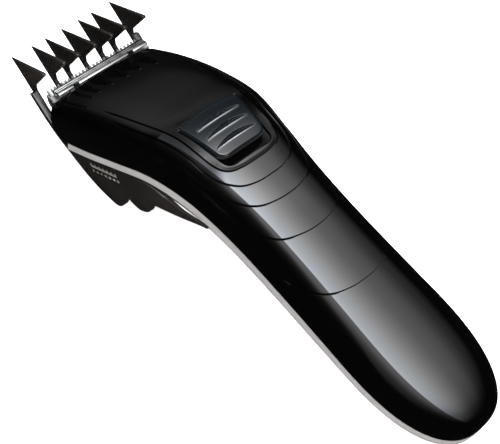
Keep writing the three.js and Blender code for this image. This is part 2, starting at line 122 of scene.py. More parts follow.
def combine(piece, other, how):  # boolean, the other piece is used up
    modified(piece, "BOOLEAN", operation=how, solver="EXACT", object=other)
    bpy.data.objects.remove(other)
    print("   ", how.lower(), piece.name, len(piece.data.vertices))
    return piece


def joined(first, *others):
    pick(first)
    for other in others:
        other.select_set(True)
    bpy.ops.object.join()
    return first


def copied(piece, name):
    pick(piece)
    bpy.ops.object.duplicate()
    return named(name)


def rounded(piece, width, segments=2, angle=30):
    return modified(piece, "BEVEL", width=width, segments=segments, limit_method="ANGLE",
                    angle_limit=math.radians(angle), harden_normals=False)


def outlinePlate(name, outline, low, high, view="side"):
    # a disc whose rim is moved onto the outline, then extruded
    # side view outlines are x z, plan outlines x y, front outlines y z
    bpy.ops.mesh.primitive_circle_add(vertices=len(outline), radius=1, fill_type="NGON")
    piece = named(name)
    for vertex, (a, b) in zip(piece.data.vertices, outline):
        vertex.co = dict(side=(a, low, b), plan=(a, b, low), front=(low, a, b))[view]
    push = dict(side=(0, high - low, 0), plan=(0, 0, high - low), front=(high - low, 0, 0))[view]
    return editAll(piece,
                   lambda: bpy.ops.mesh.extrude_region_move(TRANSFORM_OT_translate=dict(value=push)),
                   lambda: bpy.ops.mesh.select_all(action="SELECT"), outward)


def bar(name, low, high):  # straight block between two corners
    bpy.ops.mesh.primitive_cube_add(size=1)
    piece = named(name)
    size = [h - l for l, h in zip(low, high)]
    middle = [(l + h) / 2 for l, h in zip(low, high)]
    piece.data.transform(Matrix.Translation(middle) @ Matrix.Diagonal((*size, 1)))
    return piece


def rod(name, start, end, radius, sides=48):
    start, end = Vector(start), Vector(end)
    bpy.ops.mesh.primitive_cylinder_add(vertices=sides, radius=radius, depth=(end - start).length)
    piece = named(name)
    turn = (end - start).to_track_quat("Z", "Y").to_matrix().to_4x4()
    piece.data.transform(Matrix.Translation((start + end) / 2) @ turn)
    return piece


def tube(name, points, radii, sides=8, loop=False):
    # round section carried along a path as a curve, then made a mesh
    bpy.ops.curve.primitive_bezier_curve_add()
    curve = named(name)
    data = curve.data
    data.splines.clear()
    spline = data.splines.new("POLY")
    spline.points.add(len(points) - 1)
    for point, place, radius in zip(spline.points, points, radii):
        point.co = (*place, 1)
        point.radius = radius
    data.dimensions = "3D"
    data.bevel_depth = 1
    data.bevel_resolution = max(sides // 4 - 1, 0)
    data.use_fill_caps = not loop
    spline.use_cyclic_u = loop
    data.twist_mode = "Z_UP"
    pick(curve)
    bpy.ops.object.convert(target="MESH")
    return editAll(bpy.context.object, weld(), outward)


def softened(corners, radius, steps=4):
    # rounds the corners of a closed outline; radius is one number or one for each corner
    result = []
    count = len(corners)
    for i, corner in enumerate(corners):
        r = radius[i] if isinstance(radius, (list, tuple)) else radius
        p, a, b = Vector(corner), Vector(corners[i - 1]), Vector(corners[(i + 1) % count])
        into, out = (a - p), (b - p)
        r = min(r, into.length * 0.48, out.length * 0.48)
        if r < 0.02:
            result.append(tuple(p))
            continue
        start, end = p + into.normalized() * r, p + out.normalized() * r
        for k in range(steps + 1):
            t = k / steps
            result.append(tuple(start * (1 - t) ** 2 + p * 2 * t * (1 - t) + end * t * t))
    return result


def smoothPath(points, step):  # even points on a smooth curve through the given ones
    points = np.array(points, float)
    ends = np.vstack([2 * points[0] - points[1], points, 2 * points[-1] - points[-2]])
    fine = []
    for i in range(1, len(ends) - 2):
        p0, p1, p2, p3 = ends[i - 1:i + 3]
        for t in np.linspace(0, 1, 24, endpoint=False):
            fine.append(0.5 * (2 * p1 + (p2 - p0) * t + (2 * p0 - 5 * p1 + 4 * p2 - p3) * t * t
                               + (3 * p1 - p0 - 3 * p2 + p3) * t ** 3))
    fine.append(points[-1])
    fine = np.array(fine)
    run = np.concatenate([[0], np.cumsum(np.linalg.norm(np.diff(fine, axis=0), axis=1))])
    at = np.linspace(0, run[-1], max(int(run[-1] / step), 2) + 1)
    return np.column_stack([np.interp(at, run, fine[:, k]) for k in range(fine.shape[1])])


def between(x, points):  # height at x on the broken line through the points
    return float(np.interp(x, [p[0] for p in points], [p[1] for p in points]))


def eased(t):
    return t * t * (3 - 2 * t)


def tipped(piece, degrees, x, z):  # nose up about the y direction through x, z
    turn = Matrix.Rotation(-math.radians(degrees), 4, "Y")
    piece.data.transform(Matrix.Translation((x, 0, z)) @ turn @ Matrix.Translation((-x, 0, -z)))
    return piece


def layDown(piece):
    pick(piece)
    piece.matrix_world = (Matrix.Translation(rest["shift"])
                          @ Matrix.Rotation(-math.radians(rest["tilt"]), 4, "Y") @ Matrix.Scale(0.001, 4))
    bpy.ops.object.transform_apply(location=True, rotation=True, scale=True)
    return piece


def fitted(piece, body, finish, nodes=(), angle=32):
    # last step of each new piece: smooth, finish, place, and hand over to the frame
    pick(piece)
    if angle:
        bpy.ops.object.shade_smooth_by_angle(angle=math.radians(angle))
    layDown(piece)
    piece.data.materials.clear()
    piece.data.materials.append(finish)
    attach(piece, body)
    if nodes:
        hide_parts(*nodes)
    return piece


def stationCurve(column):
    xs = [s[0] for s in handle["stations"]]
    ys = [s[column] for s in handle["stations"]]
    n = len(xs)
    slope = [(ys[i + 1] - ys[i]) / (xs[i + 1] - xs[i]) for i in range(n - 1)]
    tangent = [slope[0]]
    for i in range(1, n - 1):
        tangent.append(0 if slope[i - 1] * slope[i] <= 0 else (slope[i - 1] + slope[i]) / 2)
    tangent.append(slope[-1])

    def value(x):
        i = 0
        while i < n - 2 and x > xs[i + 1]:
            i += 1
        h = xs[i + 1] - xs[i]
        t = (x - xs[i]) / h
        return (ys[i] * (1 + 2 * t) * (1 - t) ** 2 + h * tangent[i] * t * (1 - t) ** 2
                + ys[i + 1] * t * t * (3 - 2 * t) + h * tangent[i + 1] * t * t * (t - 1))
    return value


partingAt, roofAt, halfAt, depthAt = (stationCurve(k) for k in (1, 2, 3, 4))


def squareAt(x):  # how squarely the roof turns into the sides
    return 2.25 + 0.95 / (1 + math.exp(-(x - 32) / 9))


def tailScale(x):
    if x >= handle["tailStart"]:
        return 1.0
    reach = (handle["tailStart"] - x) / (handle["tailStart"] - handle["tailEnd"])
    return max(0.0, 1 - reach ** handle["tailPower"]) ** (1 / handle["tailPower"])


def roofHeight(x, y):  # outside of the upper shell above a spot in plan
    s = tailScale(x)
    share = min(abs(y) / max(halfAt(x) * s, 0.01), 1)
    m = squareAt(x)
    return (partingAt(x) + handle["seam"] / 2
            + (roofAt(x) - partingAt(x)) * s ** handle["tailDrop"] * (1 - share ** m) ** (1 / m))


def ringStations(shell):  # where a shell's sections stand, closer together round the tail
    xs = []
    x = shell["front"]
    near, far = shell["fineRange"]
    while x > handle["tailStart"] + 0.01:
        xs.append(x)
        x -= shell["fine"] if near < x <= far else shell["coarse"]
    length = handle["tailStart"] - handle["tailEnd"]
    for i in range(shell["tailRings"] + 1):
        a = math.pi / 2 * i / shell["tailRings"]
        xs.append(handle["tailStart"] - length * math.sin(a) ** (2 / handle["tailPower"]))
    return xs


def evenly(ys, zs, count):  # the same line with evenly spaced points
    run = np.concatenate([[0], np.cumsum(np.hypot(np.diff(ys), np.diff(zs)))])
    at = np.linspace(0, run[-1], count)
    return np.interp(at, run, ys), np.interp(at, run, zs)


def halfRound(half, height, square, shell):  # section from one side over to the other
    a = np.linspace(0, math.pi, shell["samples"])
    c = np.cos(a)
    ys = half * np.sign(c) * np.abs(c) ** (2 / square)
    zs = height * np.abs(np.sin(a)) ** (2 / square)
    return zip(*evenly(ys, zs, shell["across"]))


def sweptGrid(name, rings, up=True):  # a grid primitive whose rows are moved onto the rings
    rows, columns = len(rings), len(rings[0])
    bpy.ops.mesh.primitive_grid_add(x_subdivisions=rows - 1, y_subdivisions=columns - 1, size=2)
    piece = named(name)
    for vertex in piece.data.vertices:
        i = round((vertex.co.x + 1) / 2 * (rows - 1))
        j = round((vertex.co.y + 1) / 2 * (columns - 1))
        vertex.co = rings[i][j]
    editAll(piece, weld(0.01), outward)
    if (sum(face.normal.z * face.area for face in piece.data.polygons) > 0) != up:
        editAll(piece, lambda: bpy.ops.mesh.flip_normals())
    return piece


upperShell = dict(
    front=86, across=112, samples=1200, coarse=1.3, fine=0.5, fineRange=(3, 36), tailRings=46,
    # side view that trims the shell at the front
    sideView=[(-100, -3), (-20, -3), (20, -8), (40, -22), (69, -36), (71.5, -35), (76, -35.8),
              (80.5, -33.6), (83, -30), (84.1, -26.6), (83.9, -24.6), (82.6, -23.4), (80.4, -22),
              (70, 5), (20, 20), (-100, 20)],
    trimHalf=30,
    mouth=((80.4, -21.3, -40), (90, 21.3, -10)),
    hinge=(82.2, -25.6),
    # lug round the hinge pin: side view, place and half thickness across, pin hole
    lug=dict(outline=[(79.6, -22), (79.9, -23.7), (80.9, -24.12), (82.4, -24.12), (83.5, -25), (83.5, -26.2),
                      (82.4, -26.95), (80.9, -26.3), (79.6, -25.2)],
             soft=0.5, at=11.6, half=0.9, hole=0.8),
    # each groove: half of a U in plan, from its rearmost point forward, x and distance from the middle
    grooves=[
        [(8.6, 0), (8.8, 4.6), (10.0, 8.6), (12.5, 10.9), (16.8, 12.1), (22, 12.7), (30, 13.5),
         (40.6, 15), (51, 16.4), (61, 17.6)],
        [(2.1, 0), (2.4, 4.6), (4.1, 8.9), (7, 11.6), (11, 13.6), (16, 14.7), (22, 15.2), (30, 16.3),
         (38, 17.4), (48, 18.6), (56, 19.3)],
        [(-6.0, 0), (-5.6, 4.4), (-4.0, 8.9), (-0.8, 12.1), (4, 14.4), (10, 16), (16, 17), (24, 18.1),
         (33, 19.5), (42, 20.6), (50, 21.3)],
        [(-19, 0), (-18.4, 5), (-16.2, 10.2), (-12.6, 13.2), (-8, 15), (-2, 16.3), (5, 17.1),
         (13.5, 18), (22, 19.2), (31, 20.7)],
        [(-40, 0), (-39.6, 5), (-38, 9.6), (-35.5, 12.6), (-32, 14.7), (-28, 16.1), (-23.5, 16.9)],
    ],
    grooveStep=0.7, grooveRadius=0.42, grooveSink=0.2,
    grooveEnd=dict(steps=9, share=0.3, rise=0.08),  # the ends run out of the surface
    # the surface rolls down inside the first groove, and comes back up towards the head
    rimDip=0.2, rimReach=1.5, rimStep=0.4, dipEnd=38, dipFade=8,
    crease=35, skinGap=0.02,
)
switch = dict(
    slope=-7, about=(22, 13.9),  # the recess is tipped about this spot
    recessCorners=[(10.9, -9.0), (33.0, -12.0), (34.4, 0), (33.0, 12.0), (10.9, 9.0)],
    recessRadii=[3.6, 1.1, 12, 1.1, 3.6], recessSteps=10,
    recessFloor=11.4, recessTop=20, floorRound=0.5,
    slot=((17.4, -1.9, 7), (27.6, 1.9, 13)),
    block=dict(x=(9, 35.6), half=13.8, under=0.9, base=9.7, cuts=28),
    rimRadius=0.42, rimLift=0.12, rimStep=0.6,
)


def grooveRun(half, step):
    right = [(x, -y) for x, y in reversed(half)]
    return smoothPath(right + half[1:], step)


def recessOutline():
    return softened(switch["recessCorners"], switch["recessRadii"], switch["recessSteps"])


def dipAt(x, y, line):  # how far the surface sinks inside the first groove
    groove = upperShell["grooves"][0]
    if not groove[0][0] < x < upperShell["dipEnd"] or abs(y) > between(x, groove):
        return 0
    near = math.sqrt(float(np.min((line[:, 0] - x) ** 2 + (line[:, 1] - y) ** 2)))
    t = min(near / upperShell["rimReach"], 1)
    fade = min(max((upperShell["dipEnd"] - x) / upperShell["dipFade"], 0), 1)
    return upperShell["rimDip"] * eased(t) * eased(fade)


def shellRings():
    line = grooveRun(upperShell["grooves"][0], upperShell["rimStep"])
    rings = []
    for x in ringStations(upperShell):
        s = tailScale(x)
        height = (roofAt(x) - partingAt(x)) * s ** handle["tailDrop"]
        base = partingAt(x) + handle["seam"] / 2
        section = halfRound(halfAt(x) * s, height, squareAt(x), upperShell)
        rings.append([(x, y, base + z - dipAt(x, y, line)) for y, z in section])
    return rings


def loweredTo(piece, base):  # gives a sheet sides, down to the slope of the switch
    editAll(piece, lambda: bpy.ops.mesh.extrude_region_move(TRANSFORM_OT_translate=dict(value=(0, 0, -1))))
    slope = math.tan(math.radians(switch["slope"]))
    for vertex in piece.data.vertices:
        if vertex.select:
            vertex.co.z = base + (vertex.co.x - switch["about"][0]) * slope
    return editAll(piece, outward)


def switchBlock():  # carries the switch, just under the outside
    size = switch["block"]
    start, end = size["x"]
    bpy.ops.mesh.primitive_grid_add(x_subdivisions=size["cuts"], y_subdivisions=size["cuts"], size=2)
    block = named("switchBlock")
    for vertex in block.data.vertices:
        x = start + (vertex.co.x + 1) / 2 * (end - start)
        y = vertex.co.y * size["half"]
        vertex.co = (x, y, roofHeight(x, y) - size["under"])
    return loweredTo(block, size["base"])


def recessWell():
    floor = switch["recessFloor"]
    well = outlinePlate("well", recessOutline(), floor, switch["recessTop"], "plan")
    selectEdges(well, lambda a, b: max(a.z, b.z) < floor + 0.1)
    pick(well)
    bpy.ops.object.mode_set(mode="EDIT")
    bpy.ops.mesh.bevel(offset=switch["floorRound"], segments=3, affect="EDGES")
    bpy.ops.object.mode_set(mode="OBJECT")
    return tipped(well, switch["slope"], *switch["about"])


def rimTube():
    loop = recessOutline()
    loop = smoothPath(loop + [loop[0]], switch["rimStep"])[:-1]
    line = grooveRun(upperShell["grooves"][0], upperShell["rimStep"])
    places = [(x, y, roofHeight(x, y) - dipAt(x, y, line) + switch["rimLift"]) for x, y in loop]
    return tube("rim", places, [switch["rimRadius"]] * len(loop), loop=True)


def grooveTube(name, half):
    run = grooveRun(half, upperShell["grooveStep"])
    end = upperShell["grooveEnd"]
    radii, places = [], []
    for k, (x, y) in enumerate(run):
        t = min(k / end["steps"], (len(run) - 1 - k) / end["steps"], 1)
        radii.append(upperShell["grooveRadius"] * (end["share"] + (1 - end["share"]) * t))
        places.append((x, y, roofHeight(x, y) - upperShell["grooveSink"] * t + end["rise"] * (1 - t)))
    return tube(name, places, radii)


def hingeLug(side):
    size, (x, z) = upperShell["lug"], upperShell["hinge"]
    y = side * size["at"]
    outline = softened(size["outline"], size["soft"], 3)
    lug = outlinePlate("lug", outline, y - size["half"], y + size["half"])
    return combine(lug, rod("pinHole", (x, y - 2, z), (x, y + 2, z), size["hole"], 24), "DIFFERENCE")


def takeNormals(piece, guide):  # clean gloss: the outside takes its normals from the uncut skin
    pick(guide)
    bpy.ops.object.shade_smooth()
    uncut = guide.evaluated_get(bpy.context.evaluated_depsgraph_get())
    onSkin = []
    for vertex in piece.data.vertices:
        found, place, _, _ = uncut.closest_point_on_mesh(vertex.co)
        if found and (place - vertex.co).length < upperShell["skinGap"]:
            onSkin.append(vertex.index)
    piece.vertex_groups.new(name="skin").add(onSkin, 1.0, "REPLACE")
    modified(piece, "DATA_TRANSFER", object=guide, use_loop_data=True, data_types_loops={"CUSTOM_NORMAL"},
             loop_mapping="POLYINTERP_NEAREST", vertex_group="skin")
    piece.vertex_groups.clear()
    bpy.data.objects.remove(guide)
    return piece


def shellPiece():
    piece = sweptGrid("upperShell", shellRings())
    guide = copied(piece, "guide")
    modified(piece, "SOLIDIFY", thickness=handle["wall"], offset=-1, use_even_offset=False)
    half = upperShell["trimHalf"]
    combine(piece, outlinePlate("trim", upperShell["sideView"], -half, half), "INTERSECT")
    combine(piece, bar("mouth", *upperShell["mouth"]), "DIFFERENCE")
    print("shell trimmed")
    combine(piece, switchBlock(), "UNION")
    combine(piece, recessWell(), "DIFFERENCE")
    combine(piece, tipped(bar("slot", *switch["slot"]), switch["slope"], *switch["about"]), "DIFFERENCE")
    combine(piece, rimTube(), "DIFFERENCE")
    for i, groove in enumerate(upperShell["grooves"]):
        combine(piece, grooveTube(f"groove{i}", groove), "DIFFERENCE")
    print("shell grooved")
    for side in (1, -1):
        joined(piece, hingeLug(side))
    editAll(piece, weld(cutGap))
    bpy.ops.object.shade_smooth_by_angle(angle=math.radians(upperShell["crease"]))
    return takeNormals(piece, guide)


lowerShell = dict(
    front=70, coarse=2.0, fine=1.3, fineRange=(8, 70), tailRings=40, samples=700, across=64, edge=0.3,
    # height of the straight band along the handle
    strip=[(-92, 2.7), (-70, 3.1), (-40, 3.6), (-10, 3.7), (20, 3.9), (40, 3.7), (90, 3.7)],
    tubInset=1.3, tubSquare=2.1,
    frontWall=dict(back=1.0, half=0.8, inset=0.5, step=0.6, slant=2, soft=0.8),
    screws=[(-73, 0), (-4, 10.6), (-4, -10.6)],
    post=dict(radius=3.5, top=0.6, tailFoot=1.2, sideFoot=5.5),
    screwHead=dict(radius=2.5, low=-3, high=5.2), screwHole=dict(radius=1.4, low=5, top=3),
    socket=dict(z=-7.4, radius=4.6, x=(-95, -80)),
    # click notches for the comb along the underside
    notches=dict(first=31, count=11, pitch=1.8 * math.cos(math.radians(40)), width=0.7, half=4,
                 low=-1.5, deep=0.55),
    # index mark on the band: x, drop below the parting line, its corners, and how far it is sunk and proud
    pointer=dict(x=56.4, drop=1.9, corners=[(-0.9, 0.7), (0.9, -0.1), (-0.18, -0.9)], sunk=0.3, proud=0.12),
)


def floorAt(x):  # underside of the lower shell on the middle line
    return partingAt(x) - depthAt(x) * tailScale(x) ** handle["tailDrop"]


def lowerRings():
    rings = []
    for x in ringStations(lowerShell):
        s = tailScale(x)
        tall = s ** handle["tailDrop"]
        w = halfAt(x) * s
        tub = max(min(w - lowerShell["tubInset"] * s, handle["tubHalf"] * s), 0)
        base, strip = partingAt(x) - handle["seam"] / 2, between(x, lowerShell["strip"]) * tall
        deep = max(depthAt(x) * tall - strip * 0.98, 0.5 * min(1, s * 4))
        edge = min(lowerShell["edge"], max(w - tub, 0.12 * s)) * s
        left = [(x, -w, base), (x, -w, base - 0.25 * tall), (x, -w, base - strip + edge),
                (x, -w + edge, base - strip)]
        section = halfRound(-tub, -deep, lowerShell["tubSquare"], lowerShell)
        middle = [(x, y, base - strip + z) for y, z in section]
        rings.append(left + middle + [(px, -py, pz) for px, py, pz in reversed(left)])
    return rings


def frontWall():
    size = lowerShell["frontWall"]
    x = lowerShell["front"] - size["back"]
    w, tub = halfAt(x) - size["inset"], handle["tubHalf"] - size["inset"]
    base = partingAt(x) - size["inset"]
    step, low = base - handle["strip"] + size["step"], base - depthAt(x) + size["inset"]
    right = [(w, base), (w, step), (tub, step), (tub - size["slant"], low)]
    outline = [(-y, z) for y, z in right] + right[::-1]
    outline = softened(outline, size["soft"])
    return outlinePlate("frontWall", outline, x - size["half"], x + size["half"], "front")


def screwPosts():  # a post for each housing screw, then its head and thread holes
    post, head, hole = lowerShell["post"], lowerShell["screwHead"], lowerShell["screwHole"]
    posts, holes = [], []
    for i, (x, y) in enumerate(lowerShell["screws"]):
        floor = partingAt(x) - depthAt(x)
        foot = floorAt(x) + post["tailFoot" if y == 0 else "sideFoot"]
        posts.append(rod(f"post{i}", (x, y, foot), (x, y, post["top"]), post["radius"]))
        low, high = floor + head["low"], floor + head["high"]
        holes.append(rod(f"head{i}", (x, y, low), (x, y, high), head["radius"]))
        holes.append(rod(f"hole{i}", (x, y, floor + hole["low"]), (x, y, hole["top"]), hole["radius"], 32))
    return posts, holes


def clickNotches():
    row = lowerShell["notches"]
    notches = []
    for i in range(row["count"]):
        x = row["first"] + i * row["pitch"]
        z = floorAt(x)
        low = (x - row["width"] / 2, -row["half"], z + row["low"])
        high = (x + row["width"] / 2, row["half"], z + row["deep"])
        notches.append(bar(f"notch{i}", low, high))
    return notches


def indexMark():
    size = lowerShell["pointer"]
    x, y, z = size["x"], halfAt(size["x"]), partingAt(size["x"]) - size["drop"]
    outline = [(x + a, z + b) for a, b in size["corners"]]
    return outlinePlate("pointer", outline, y - size["sunk"], y + size["proud"])


def lowerPiece():
    piece = sweptGrid("lowerShell", lowerRings(), up=False)
    modified(piece, "SOLIDIFY", thickness=handle["wall"], offset=-1, use_even_offset=False)
    joined(piece, frontWall())
    posts, holes = screwPosts()
    for post in posts:
        combine(piece, post, "UNION")
    (start, end), z = lowerShell["socket"]["x"], lowerShell["socket"]["z"]
    holes.append(rod("socketHole", (start, 0, z), (end, 0, z), lowerShell["socket"]["radius"], 64))
    for hole in holes + clickNotches():
        combine(piece, hole, "DIFFERENCE")
    joined(piece, indexMark())
    return editAll(piece, weld(cutGap))


comb = dict(
    tineAt=[-21, -12.8, -7.1, 0, 7.1, 12.8, 21], tineThick=1.25, tipThick=0.55, pointFrom=100,
    tine=[(106.9, -27.9), (87.7, -15.7), (87.0, -16.2), (93.1, -29.0), (92.6, -31.4)],
    stem=[(85, -36), (78, -38.5), (70, -39.5), (48, -40)],
    skin=[(48, -41.5), (70, -41.2), (78, -40.2), (85, -38), (94, -33.4)],
    # side cheek: lower edge from the blades back, with its two rounded lobes
    cheekLow=[(94, -33.2), (85, -37.8), (78, -40.2), (70, -41.7), (62, -43.0), (55, -43.1), (50.5, -42.5),
              (47, -41.7), (44.2, -40.6), (42.2, -38.6), (41.0, -35.6), (40.8, -31.8), (41.0, -28.6)],
    lobe=[(40.2, -28.0), (38.2, -28.6), (35.1, -28.4), (31.9, -27.0), (29.4, -24.6), (28.3, -21.6),
          (28.6, -18.6), (22.8, -15.0), (17.0, -11.8), (8.2, -5.9), (6.0, -4.8)],
    wingTop=[(6.2, -4.4), (11.9, -6.1), (17.4, -7.9), (21.8, -7.7), (27.5, -7.9), (31.1, -8.6), (34, -4)],
    cheekTop=[(69.5, -37.4), (78, -37.2), (85, -34.6), (92, -31)], topFrom=6.4, topTo=66, topStep=2,
    cheekGap=0.7, cheekIn=20.7, cheekOut=23.1,
    # the rear of a cheek keeps this far outside the handle, and thins
    hug=0.35, hugFrom=38, thinFrom=16, cheekThin=1.2, hugStep=3,
    sole=[(48, -39.9), (70, -39.5), (77, -38.9), (77.4, -40.2), (70, -41.2), (48, -41.55)], soleHalf=22,
    back=[(40.9, -31.6), (38.8, -30.5), (42, -41), (48.5, -41.5), (48.5, -39.9), (43.6, -39.5)], backHalf=9,
    # plates of the bar under the handle, in its own slope: x range, half width, half thickness
    barSlope=-28, barAt=(34.7, -27.1),
    bridge=dict(x=(-6.4, 6.6), half=9.4, thick=1.3, soft=1.5),
    wings=dict(x=(-1.6, 3.6), half=22, thick=1.25, soft=0),
    window=dict(x=(-4.7, 4.7), half=6.4, thick=5, soft=0.8), pivot=(7.6, 0.85),
)
lockButton = dict(
    x=(-4.3, 4.3), half=6, low=-3.2, high=0.2, soft=1.0, edge=0.3,
    ridges=(-3, -1.5, 0), ridge=0.42, ridgeHalf=7, pin=0.75, pinHalf=7.4,
    catch=((3.3, -3, 0), (4.2, 3, 1.3)),
)


def cheekOutline():
    line = [tuple(p) for low in (comb["cheekLow"], comb["lobe"]) for p in smoothPath(low, 1.0)]
    for x in np.arange(comb["topFrom"], comb["topTo"], comb["topStep"]):
        line.append((x, min(partingAt(x) - handle["strip"] - comb["cheekGap"], between(x, comb["wingTop"]))))
    return line + comb["cheekTop"]


def hugged(cheek, side):  # the rear of a cheek follows the narrowing handle
    for x in range(6, comb["hugFrom"], comb["hugStep"]):
        editAll(cheek, lambda: bpy.ops.mesh.bisect(plane_co=(x, 0, 0), plane_no=(1, 0, 0)))
    depth = comb["cheekOut"] - comb["cheekIn"]
    for vertex in cheek.data.vertices:
        x = vertex.co.x
        if x < comb["hugFrom"]:
            outside = min(comb["cheekOut"], halfAt(x) + comb["hug"])
            blend = min(max((x - comb["thinFrom"]) / (comb["hugFrom"] - comb["thinFrom"]), 0), 1)
            thick = comb["cheekThin"] + (depth - comb["cheekThin"]) * blend
            share = (comb["cheekOut"] - abs(vertex.co.y)) / depth
            vertex.co.y = side * (outside - share * thick)
    return cheek


def onBar(piece):
    turn = Matrix.Rotation(-math.radians(comb["barSlope"]), 4, "Y")
    x, z = comb["barAt"]
    piece.data.transform(Matrix.Translation((x, 0, z)) @ turn.inverted())
    return piece


def slopedPlate(name, size, low, high, steps=4):
    start, end = size["x"]
    corners = [(start, -size["half"]), (end, -size["half"]), (end, size["half"]), (start, size["half"])]
    return outlinePlate(name, softened(corners, size["soft"], steps), low, high, "plan")


def barPlate(name):  # one plate of the bar, from the comb's own dictionary
    size = comb[name]
    return onBar(slopedPlate(name, size, -size["thick"], size["thick"]))


def fin(name, y):  # a tine and its stem, with the point thinner than the back
    half = comb["tineThick"] / 2
    piece = outlinePlate(name, comb["tine"] + comb["stem"] + comb["skin"], y - half, y + half)
    for vertex in piece.data.vertices:
        if vertex.co.x > comb["pointFrom"]:
            vertex.co.y = y + (vertex.co.y - y) * comb["tipThick"] / comb["tineThick"]
    return rounded(piece, 0.17, 2, 20)


def cheekPlate(side):
    low, high = sorted((side * comb["cheekIn"], side * comb["cheekOut"]))
    return hugged(rounded(outlinePlate("cheek", cheekOutline(), low, high), 0.35, 2, 50), side)


def combPiece():
    fins = [fin(f"fin{i}", y) for i, y in enumerate(comb["tineAt"])]
    cheeks = [cheekPlate(side) for side in (1, -1)]
    piece = rounded(outlinePlate("combFrame", comb["sole"], -comb["soleHalf"], comb["soleHalf"]), 0.3, 2, 50)
    back = rounded(outlinePlate("back", comb["back"], -comb["backHalf"], comb["backHalf"]), 0.3, 2, 40)
    for other in [back, barPlate("bridge"), barPlate("wings")] + cheeks + fins:
        combine(piece, other, "UNION")
    combine(piece, barPlate("window"), "DIFFERENCE")
    reach, radius = comb["pivot"]
    combine(piece, onBar(rod("lockPivot", (0, -reach, 0), (0, reach, 0), radius, 24)), "DIFFERENCE")
    return editAll(piece, weld(cutGap))


def lockPiece():
    body = slopedPlate("lockButton", lockButton, lockButton["low"], lockButton["high"], 5)
    rounded(body, lockButton["edge"], 3, 50)
    half, z = lockButton["ridgeHalf"], lockButton["low"]
    for x in lockButton["ridges"]:
        combine(body, rod("ridge", (x, -half, z), (x, half, z), lockButton["ridge"], 24), "DIFFERENCE")
    half = lockButton["pinHalf"]
    combine(body, rod("pin", (0, -half, 0), (0, half, 0), lockButton["pin"], 24), "UNION")
    combine(body, bar("catch", *lockButton["catch"]), "UNION")
    return onBar(body)


blades = dict(
    pitch=1.5,
    fixed=dict(count=27, half=20.5, back=82.9, root=85.6, tip=88.6, width=1.0, tipWidth=0.42,
               low=-28.6, high=-27.7),
    moving=dict(count=24, half=18.4, back=82.9, root=85.4, tip=87.9, width=0.9, tipWidth=0.36,
                low=-27.5, high=-26.8),
    point=0.35, edge=0.1,
    # turned down guard at each end of the fixed blade
    ear=dict(outline=[(83.4, -33.4), (86.6, -31.6), (87.6, -28.2), (83, -28.2)], soft=0.8, y=(19.7, 20.6)),
    guideLine=[(83.95, -24.3), (84.5, -24.35), (84.75, -24.8), (84.95, -25.2), (85.2, -25.2),
               (85.35, -24.95), (85.85, -25.1), (86.2, -25.5), (86.2, -26.5), (84, -26.5)],
    guideHalf=18.9,
    # flat spring over the hinge, with a notch for each lug of the housing: distances across, reach forward
    springLine=[(82.1, -24.0), (82.15, -23.74), (82.8, -23.68), (83.6, -23.8), (83.85, -24.05),
                (83.75, -24.2), (83.4, -24.08), (82.8, -24.02)],
    springNotch=(10.4, 12.8, 83.3),
)


def bladePiece(name, size):
    first = (size["count"] - 1) / 2 * blades["pitch"]
    outline = [(size["back"], -size["half"]), (size["back"], size["half"]), (size["root"], size["half"])]
    for i in range(size["count"]):
        y = first - i * blades["pitch"]
        w, t = size["width"] / 2, size["tipWidth"] / 2
        tip, neck = size["tip"], size["tip"] - blades["point"]
        outline += [(size["root"], y + w), (neck, y + t * 1.25), (tip, y + t * 0.6),
                    (tip, y - t * 0.6), (neck, y - t * 1.25), (size["root"], y - w)]
    outline.append((size["root"], -size["half"]))
    piece = outlinePlate(name, outline, size["low"], size["high"], "plan")
    return rounded(piece, blades["edge"], 1, 40)


def fixedPiece():
    piece = bladePiece("fixedBlade", blades["fixed"])
    size = blades["ear"]
    for side in (1, -1):
        low, high = sorted(side * y for y in size["y"])
        ear = outlinePlate("ear", softened(size["outline"], size["soft"]), low, high)
        joined(piece, rounded(ear, 0.15, 2, 50))
    return piece


def guidePiece():
    half = blades["guideHalf"]
    return rounded(outlinePlate("guideBar", blades["guideLine"], -half, half), 0.06, 2, 25)


def springPiece():
    half = blades["guideHalf"]
    piece = outlinePlate("bladeSpring", blades["springLine"], -half, half)
    near, far, front = blades["springNotch"]
    for side in (1, -1):
        low, high = sorted((side * near, side * far))
        combine(piece, bar("lugNotch", (81, low, -25), (front, high, -23)), "DIFFERENCE")
    return rounded(piece, 0.05, 2, 40)


button = dict(
    corners=[(14.7, -8.6), (32.2, -11.3), (33.6, 0), (32.2, 11.3), (14.7, 8.6)],
    radii=[3.3, 0.9, 12, 0.9, 3.3],
    sheet=dict(x=(14.2, 34.0), half=11.9), cut=(2, 22),
    lift=0.45, edgeRound=0.7, edgeDrop=0.45, base=11.7,
    stem=((21.2, -1.5, 9.4), (24.4, 1.5, 12)),
    # thumb scoops: straight rear lip at x, half length, reach of the curved front edge, depth
    scoops=[(18.3, 7.9, 1.6, 0.6), (22.7, 8.1, 1.5, 0.58), (27.1, 8.5, 1.4, 0.55)],
    lip=0.22, lipWidth=0.42, scoopEnd=0.25, pitch=0.14,
    # the rear lips get a painted highlight, a lighter tone mixed into their colour in place of the reflection
    # of the overhead light, most of all on the left
    paintedGlint=dict(width=0.27, strength=1.3, middle=0.65, lean=0.35, above=12),
)


def distanceTo(line, x, y):  # distance from a spot to a closed outline in plan
    a, b = line, np.roll(line, -1, axis=0)
    d = b - a
    run = (x - a[:, 0]) * d[:, 0] + (y - a[:, 1]) * d[:, 1]
    t = np.clip(run / np.maximum((d ** 2).sum(1), 1e-9), 0, 1)
    return float(np.sqrt(np.min((a[:, 0] + t * d[:, 0] - x) ** 2 + (a[:, 1] + t * d[:, 1] - y) ** 2)))


